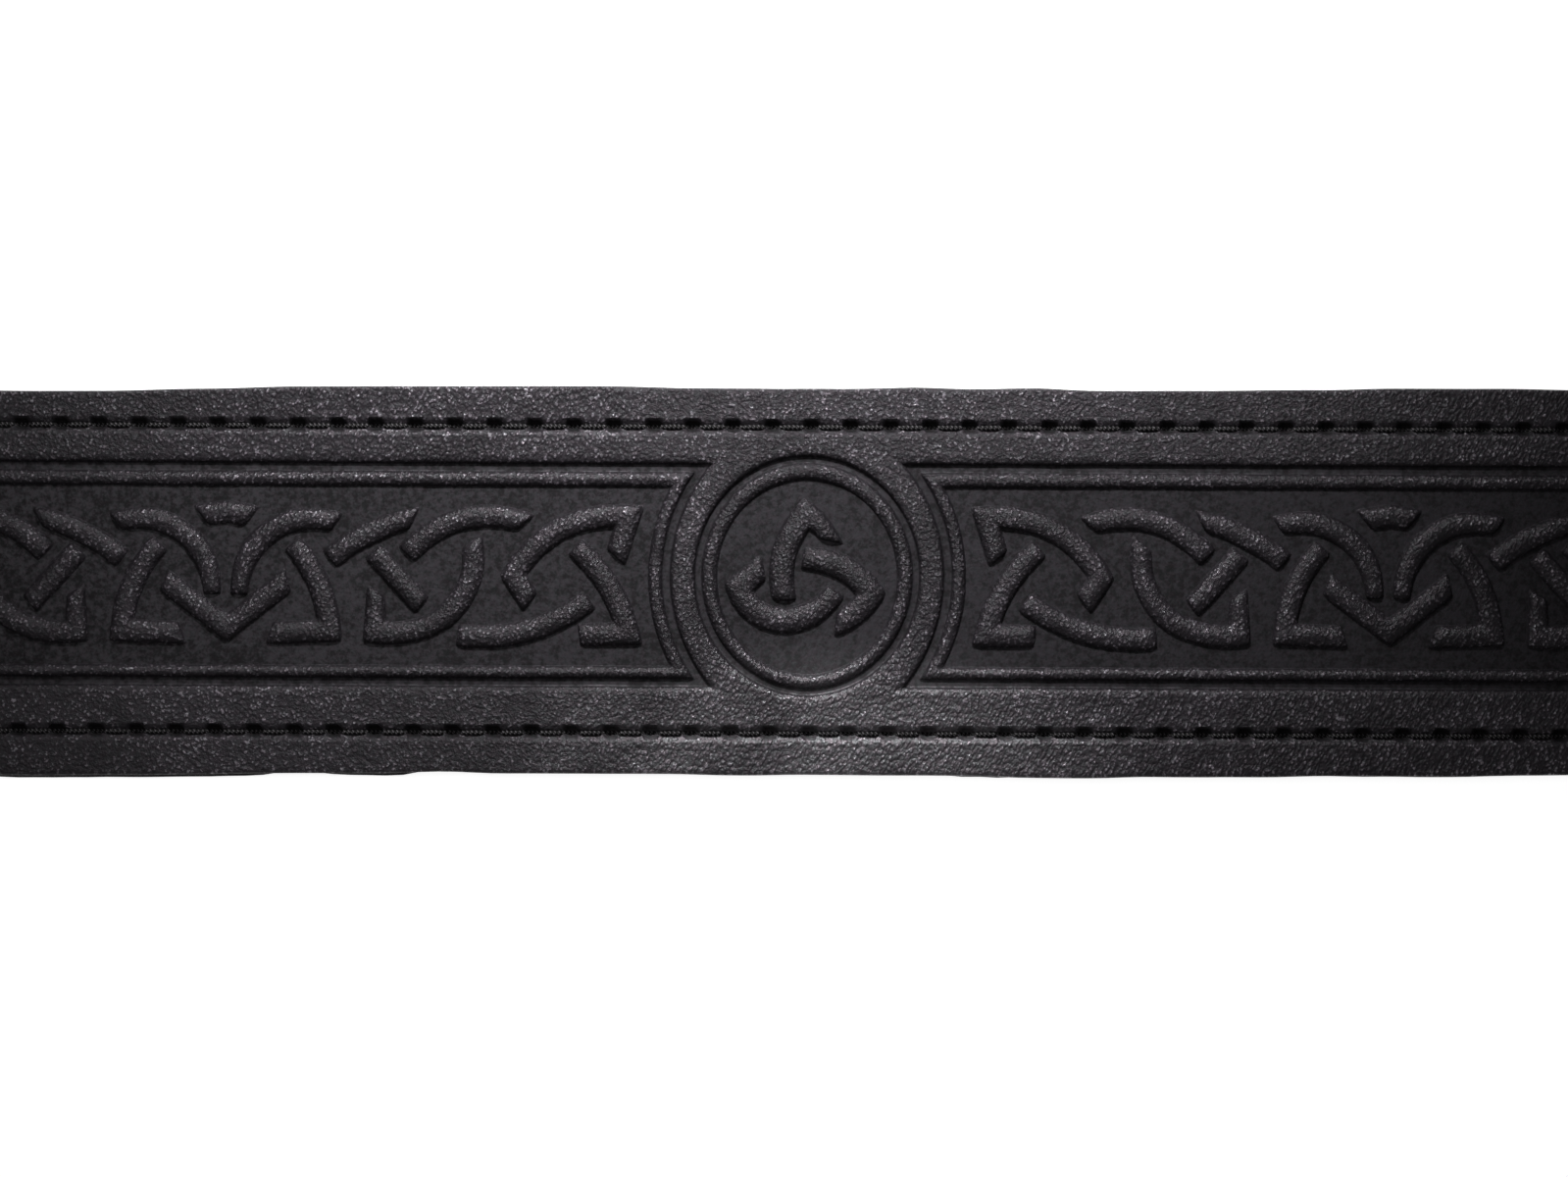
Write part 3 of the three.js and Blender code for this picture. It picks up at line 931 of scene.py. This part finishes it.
def makeBuckle():
    b = buckleSize
    low, high = b["bottom"], b["top"]
    cornerSteps, lugSteps, roundSteps = 12, 24, 40

    def plateRing(inset, z):
        radius = max(0.6, b["corner"] - inset)
        farX, nearX = b["endX"] - inset - radius, b["startX"] + inset + radius
        upperY, lowerY = b["half"] - inset - radius, radius + inset - b["half"]
        ring = []
        for cx, cy, start in (
            (farX, upperY, 0.0), (nearX, upperY, 0.5), (nearX, lowerY, 1.0), (farX, lowerY, 1.5),
        ):
            for i in range(cornerSteps + 1):
                turn = math.pi * (start + 0.5 * i / cornerSteps)
                ring.append((cx + radius * math.cos(turn), cy + radius * math.sin(turn), z))
        return ring

    plate = loftPiece("bucklePlate", [plateRing(inset, z) for inset, z in (
        (0.5, low), (0.22, low + 0.06), (0.06, low + 0.22), (0.0, low + 0.5), (0.0, high - 0.85),
        (0.07, high - 0.5), (0.25, high - 0.22), (0.52, high - 0.06), (0.9, high),
    )])

    # the lugs, the bar and the hook reach into the plate, and are made one piece with it
    into = high - 1.2
    outline = [(b["lugRadius"], into), (-b["lugRadius"], into)]
    for i in range(lugSteps + 1):
        turn = math.pi * (1 + i / lugSteps)
        outline.append((b["lugRadius"] * math.cos(turn), strap["barZ"] + b["lugRadius"] * math.sin(turn)))
    parts = []
    for side in (-1, 1):
        rings = []
        for inset, y in (
            (0.35, b["lugIn"]), (0.0, b["lugIn"] + 0.35), (0.0, b["lugOut"] - 0.5),
            (0.15, b["lugOut"] - 0.15), (0.5, b["lugOut"]),
        ):
            keep = 1 - inset / b["lugRadius"]
            ring = []
            for x, z in outline:
                up = z if z > low else strap["barZ"] + (z - strap["barZ"]) * keep
                ring.append((strap["bar"] + x * keep, side * y, up))
            rings.append(ring)
        parts.append(loftPiece("lug", rings))

    def barRing(y):
        radius = b["barRadius"]
        return [
            (strap["bar"] + radius * math.cos(t), y, strap["barZ"] + radius * math.sin(t))
            for t in fullTurn(roundSteps)
        ]

    barHalf = b["lugIn"] + 1.1
    parts.append(loftPiece("bar", [barRing(-barHalf), barRing(barHalf)]))
    r = b["pegRadius"]
    parts.append(loftPiece("peg", [
        ringAt(b["pegX"], radius, z, roundSteps)
        for radius, z in ((r - 0.4, 0.02), (r - 0.1, 0.15), (r, 0.45), (r, into))
    ]))

    def toeRing(inset, z):
        half = r - inset
        farX = b["pegX"] + b["toe"] - r
        ring = [(b["pegX"], half, z), (b["pegX"], -half, z)]
        for i in range(17):
            turn = math.pi * i / 16
            ring.append((farX + half * math.sin(turn), -half * math.cos(turn), z))
        return ring

    toeTop = b["toeTop"]
    parts.append(loftPiece("toe", [toeRing(inset, z) for inset, z in (
        (0.5, 0.03), (0.15, 0.15), (0.0, 0.5), (0.0, toeTop - 0.5), (0.15, toeTop - 0.15), (0.5, toeTop),
    )]))
    for part in parts:
        joined = plate.modifiers.new("join", "BOOLEAN")
        joined.operation = "UNION"
        joined.solver = "EXACT"
        joined.object = part
    made = evaluatedMesh(plate)
    plate.modifiers.clear()
    plate.data = made
    for part in parts:
        bpy.data.objects.remove(part)
    made.polygons.foreach_set("use_smooth", [True] * len(made.polygons))
    made.set_sharp_from_angle(angle=math.radians(40))
    plate.name = "buckle"
    print("buckle", countTriangles(made), "triangles")
    return plate


class Paint:
    # A material with short ways to add and join nodes
    def __init__(self, name):
        self.material = bpy.data.materials.new(name)
        self.material.use_nodes = True
        self.tree = self.material.node_tree
        self.shader = self.tree.nodes["Principled BSDF"]
        self.place = self.tree.nodes.new("ShaderNodeTexCoord").outputs["Object"]

    def plug(self, value, socket):
        if isinstance(value, bpy.types.NodeSocket):
            self.tree.links.new(value, socket)
        else:
            socket.default_value = value

    def node(self, kind, inputs=(), **settings):
        made = self.tree.nodes.new("ShaderNode" + kind)
        for key, value in settings.items():
            setattr(made, key, value)
        for key, value in dict(inputs).items():
            self.plug(value, made.inputs[key])
        return made

    def noise(self, scale, detail=2.0, rough=0.5, place=None):
        inputs = {"Vector": place or self.place, "Scale": scale, "Detail": detail, "Roughness": rough}
        return self.node("TexNoise", inputs).outputs["Fac"]

    def maths(self, operation, *values):
        return self.node("Math", dict(enumerate(values)), operation=operation).outputs[0]

    def times(self, first, second):
        return self.maths("MULTIPLY", first, second)

    def plus(self, first, second):
        return self.maths("ADD", first, second)

    def ranged(self, value, low, high, outLow=0.0, outHigh=1.0, kind="SMOOTHSTEP"):
        inputs = {"Value": value, "From Min": low, "From Max": high, "To Min": outLow, "To Max": outHigh}
        return self.node("MapRange", inputs, interpolation_type=kind).outputs["Result"]

    def mix(self, share, first, second):
        made = self.node("Mix", data_type="RGBA")
        self.plug(share, made.inputs[0])
        for key, colour in ((6, first), (7, second)):
            self.plug((*colour, 1.0) if isinstance(colour, tuple) else colour, made.inputs[key])
        return made.outputs[2]

    def attribute(self, name):
        return self.node("Attribute", attribute_name=name).outputs["Fac"]

    def stretched(self, turn, scale):
        inputs = {"Vector": self.place, "Rotation": (0, 0, math.radians(turn)), "Scale": scale}
        return self.node("Mapping", inputs, vector_type="TEXTURE").outputs["Vector"]

    def finish(self, inputs, height=None, distance=0.0001):
        if height is not None:
            bump = self.node("Bump", {"Height": height, "Distance": distance, "Strength": 1.0})
            self.plug(bump.outputs["Normal"], self.shader.inputs["Normal"])
        for key, value in inputs.items():
            self.plug(value, self.shader.inputs[key])
        return self.material


# The darkest and lightest tone of the sunk ground and of the raised leather, and the single tones: the
# painted glints of the specks, the cut edge, and the painted shade in the stitch pits
leatherTones = {
    "ground": ((0.002, 0.0018, 0.0022), (0.019, 0.0168, 0.0206)),
    "top": ((0.005, 0.0043, 0.0052), (0.026, 0.0222, 0.0272)),
    "shineAndPaintedGlints": (0.15, 0.13, 0.156),
    "cut": (0.01, 0.0092, 0.01),
    "pit": (0.0004, 0.0004, 0.0004),
}


def leatherPaint():
    p = Paint("embossedLeather")
    level, cut = p.attribute("raised"), p.attribute("cutEdge")
    raised = p.maths("MAXIMUM", level, 0.0)

    # the grain, fine in one place and streaked in the next, with pebbles taken out of it
    pebble = p.node("TexVoronoi", {"Vector": p.place, "Scale": 1750.0, "Randomness": 1.0, "Smoothness": 0.4},
                    feature="SMOOTH_F1").outputs["Distance"]
    fine = p.noise(2150.0, 3.0, 0.7)
    streaks = p.noise(1950.0, 2.0, 0.55, p.stretched(62, (2.4, 0.8, 1.0)))
    drift = p.ranged(p.noise(14.0, 2.0), 0.4, 0.6)
    grain = p.plus(p.times(fine, p.maths("SUBTRACT", 1.5, drift)), p.times(streaks, p.plus(drift, 0.3)))
    grain = p.maths("SUBTRACT", grain, p.times(pebble, 0.8))

    # wear: wide drifts, small patches, and one place on the lower margin that is rubbed shiny
    worn = p.ranged(p.noise(26.0, 3.0, 0.55), 0.38, 0.62)
    patches = p.noise(330.0, 3.0, 0.6)
    away = p.node("VectorMath", {0: p.stretched(0, (2.4, 1.0, 1.0)), 1: (0.001, -0.029, 0.0)},
                  operation="DISTANCE").outputs["Value"]
    rubbed = p.times(p.ranged(away, 0.024, 0.004), p.ranged(p.noise(60.0, 3.0, 0.6), 0.35, 0.55, 0.4, 1.0))

    # bright specks on the raised leather: shinier spots, with painted glints in their colour
    shineAndPaintedGlints = p.ranged(grain, 0.6, 0.87)
    shineAndPaintedGlints = p.times(shineAndPaintedGlints, p.times(raised, p.ranged(patches, 0.36, 0.6, 0.18, 1.0)))
    shineAndPaintedGlints = p.times(shineAndPaintedGlints, p.ranged(worn, 0.0, 1.0, 0.55, 1.0, "LINEAR"))

    # colour
    mottle = p.plus(p.times(p.noise(130.0, 2.0), 0.2), p.times(p.noise(1100.0, 3.0, 0.7), 0.8))
    mottle = p.ranged(mottle, 0.38, 0.62)
    topShare = p.times(patches, p.ranged(worn, 0.0, 1.0, 0.6, 1.3, "LINEAR"))
    colour = p.mix(raised, p.mix(mottle, *leatherTones["ground"]), p.mix(topShare, *leatherTones["top"]))
    # painted glints: the specks lightened in the base colour
    colour = p.mix(shineAndPaintedGlints, colour, leatherTones["shineAndPaintedGlints"])
    colour = p.mix(cut, colour, leatherTones["cut"])
    # painted shade: the stitch pits near black where the raised value falls below zero
    colour = p.mix(p.ranged(level, 0.1, -0.7, 0.0, 1.0), colour, leatherTones["pit"])

    # roughness: the cut edges and the pits are dull
    rough = p.mix(raised, p.mix(mottle, (0.8, 0.8, 0.8), (0.52, 0.52, 0.52)), (0.45, 0.45, 0.45))
    rough = p.maths("SUBTRACT", rough, p.times(shineAndPaintedGlints, 0.18))
    dull = p.maths("MAXIMUM", cut, p.times(level, -1.0))
    rough = p.maths("MAXIMUM", rough, p.times(dull, 0.85))

    # height, with fibres on the cut edges
    fibre = p.noise(900.0, 4.0, 0.7, p.stretched(0, (1.0, 1.0, 0.33)))
    bump = p.times(grain, p.ranged(raised, 0.0, 1.0, 0.16, 1.0, "LINEAR"))
    bump = p.plus(bump, p.times(fibre, cut))

    # shine: on the specks and where it is rubbed
    tint = p.mix(p.ranged(p.noise(1300.0, 1.0), 0.42, 0.58), (1.0, 0.9, 0.97), (0.95, 0.97, 1.0))
    shine = p.plus(p.ranged(shineAndPaintedGlints, 0.0, 1.0, 0.21, 1.0, "LINEAR"), p.times(rubbed, 0.8))
    inputs = {"Base Color": colour, "Roughness": rough, "Specular Tint": tint, "Specular IOR Level": shine}
    return p.finish({**inputs, "IOR": 1.75}, bump, 0.00018)


def backingPaint():
    p = Paint("plainLeather")
    pores = p.noise(2200.0, 3.0, 0.6)
    colour = p.mix(p.noise(40.0, 3.0, 0.5), (0.011, 0.01, 0.0105), (0.02, 0.018, 0.019))
    rough = p.ranged(pores, 0.2, 0.8, 0.7, 0.9)
    return p.finish({"Base Color": colour, "Roughness": rough}, p.plus(pores, p.noise(600.0, 2.0)), 0.00012)


def threadPaint():
    p = Paint("blackThread")
    twist = p.node("UVMap", uv_map="twist").outputs["UV"]
    parts = p.node("SeparateXYZ", {"Vector": twist})
    phase = p.plus(p.times(parts.outputs["X"], 9.0), p.times(parts.outputs["Y"], 1.5))
    lay = p.times(p.maths("PINGPONG", phase, 0.5), 2.0)
    fuzz = p.noise(5000.0, 2.0)
    # painted highlights: light ticks on the crests of the twist
    paintedTwistHighlight = p.times(p.ranged(lay, 0.55, 1.0), p.ranged(fuzz, 0.3, 0.6, 0.4, 1.0))
    colour = p.mix(paintedTwistHighlight, (0.0008, 0.0008, 0.0008), (0.15, 0.14, 0.15))
    rough = p.ranged(fuzz, 0.3, 0.7, 0.5, 0.7)
    height = p.plus(lay, p.times(fuzz, 0.2))
    return p.finish({"Base Color": colour, "Roughness": rough, "Specular IOR Level": 0.3}, height, 0.00014)


def metalPaint():
    p = Paint("nickel")
    brush = p.noise(2400.0, 3.0, 0.6, p.stretched(0, (0.02, 1.0, 1.0)))
    haze = p.noise(30.0, 3.0, 0.6)
    scratch = p.ranged(p.noise(700.0, 2.0, 0.5, p.stretched(27, (0.015, 1.0, 1.0))), 0.68, 0.74)
    rough = p.plus(p.ranged(haze, 0.3, 0.7, 0.3, 0.4), p.times(scratch, 0.12))
    colour = p.mix(haze, (0.56, 0.56, 0.57), (0.66, 0.655, 0.65))
    height = p.maths("SUBTRACT", brush, scratch)
    return p.finish({"Base Color": colour, "Roughness": rough, "Metallic": 1.0}, height, 0.000006)


def floorPaint():
    p = Paint("paleFloor")
    colour = p.mix(p.noise(3.0, 2.0), (0.8, 0.8, 0.8), (0.82, 0.82, 0.82))
    glow = {"Emission Color": (1, 1, 1, 1), "Emission Strength": 0.9}
    return p.finish({"Base Color": colour, "Roughness": 0.9, **glow})


def makeStage():
    built = bmesh.new()
    bmesh.ops.create_grid(built, x_segments=2, y_segments=2, size=6.0)
    floor = objectFrom("floor", built)
    floor.data.materials.append(floorPaint())


def placeLamp(lamp, place, target):
    holder = addObject(lamp.name, lamp)
    holder.location = place
    holder.rotation_euler = (Vector(target) - Vector(place)).to_track_quat("-Z", "Y").to_euler()


def addSpot(name, energy, softness, cone, place, target):
    lamp = bpy.data.lights.new(name, "SPOT")
    lamp.energy, lamp.shadow_soft_size = energy, softness
    lamp.spot_size, lamp.spot_blend = math.radians(cone), 1.0
    placeLamp(lamp, place, target)


# A spot aimed beyond the middle of the strap, a weak lamp on its left, and one spot for each end
def makeLamps():
    addSpot("key", 8.2, 0.02, 54, (-0.016, 0.26, 0.225), (-0.012, 0.1, 0))
    side = bpy.data.lights.new("side", "AREA")
    side.shape, side.size, side.energy = "SQUARE", 0.12, 0.24
    placeLamp(side, (-0.15, 0.06, 0.4), (-0.07, 0.03, 0))
    for name, x in (("buckleEnd", 0.35), ("tipEnd", -0.37)):
        addSpot(name, 8.0, 0.05, 52, (x, 0.26, 0.35), (x, 0.0, 0))


def makeView():
    camera = bpy.data.cameras.new("view")
    camera.lens, camera.sensor_width = 100.0, 36.0
    camera.clip_start, camera.clip_end = 0.05, 50.0
    holder = addObject("view", camera)
    holder.location = (-0.00342, -0.001, 0.6496)
    holder.rotation_euler = (0.0, 0.0, 0.0039)
    bpy.context.scene.camera = holder
    makeLamps()
    world = bpy.data.worlds.new("room")
    world.use_nodes = True
    nodes, links = world.node_tree.nodes, world.node_tree.links
    sky = nodes["Background"].inputs
    sky["Color"].default_value = (1, 1, 1, 1)
    up = nodes.new("ShaderNodeSeparateXYZ")
    fade = nodes.new("ShaderNodeMapRange")
    links.new(nodes.new("ShaderNodeTexCoord").outputs["Generated"], up.inputs[0])
    links.new(up.outputs["Z"], fade.inputs["Value"])
    for key, value in (("From Min", 0.4), ("From Max", 0.75), ("To Min", 0.16), ("To Max", 0.02)):
        fade.inputs[key].default_value = value
    links.new(fade.outputs["Result"], sky["Strength"])
    bpy.context.scene.world = world
    bpy.context.scene.view_settings.view_transform = "Standard"


makeView()
makeStage()
leather, plainLeather, thread, nickel = leatherPaint(), backingPaint(), threadPaint(), metalPaint()

face = makeFace()
face.data.materials.append(leather)
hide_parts("face_strap", "buckle_fold")
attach(face, "root")

backing = makeBacking()
backing.data.materials.append(plainLeather)
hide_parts("backing_strap")
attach(backing, "root")

stitch = makeStitch()
for threadName, upperSide in (("threadAbove", True), ("threadBelow", False)):
    row = makeThread(threadName, upperSide, stitch, thread)
    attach(row, "root")
bpy.data.objects.remove(stitch)

buckle = makeBuckle()
buckle.data.materials.append(nickel)
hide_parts("buckle_plate")
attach(buckle, "root")
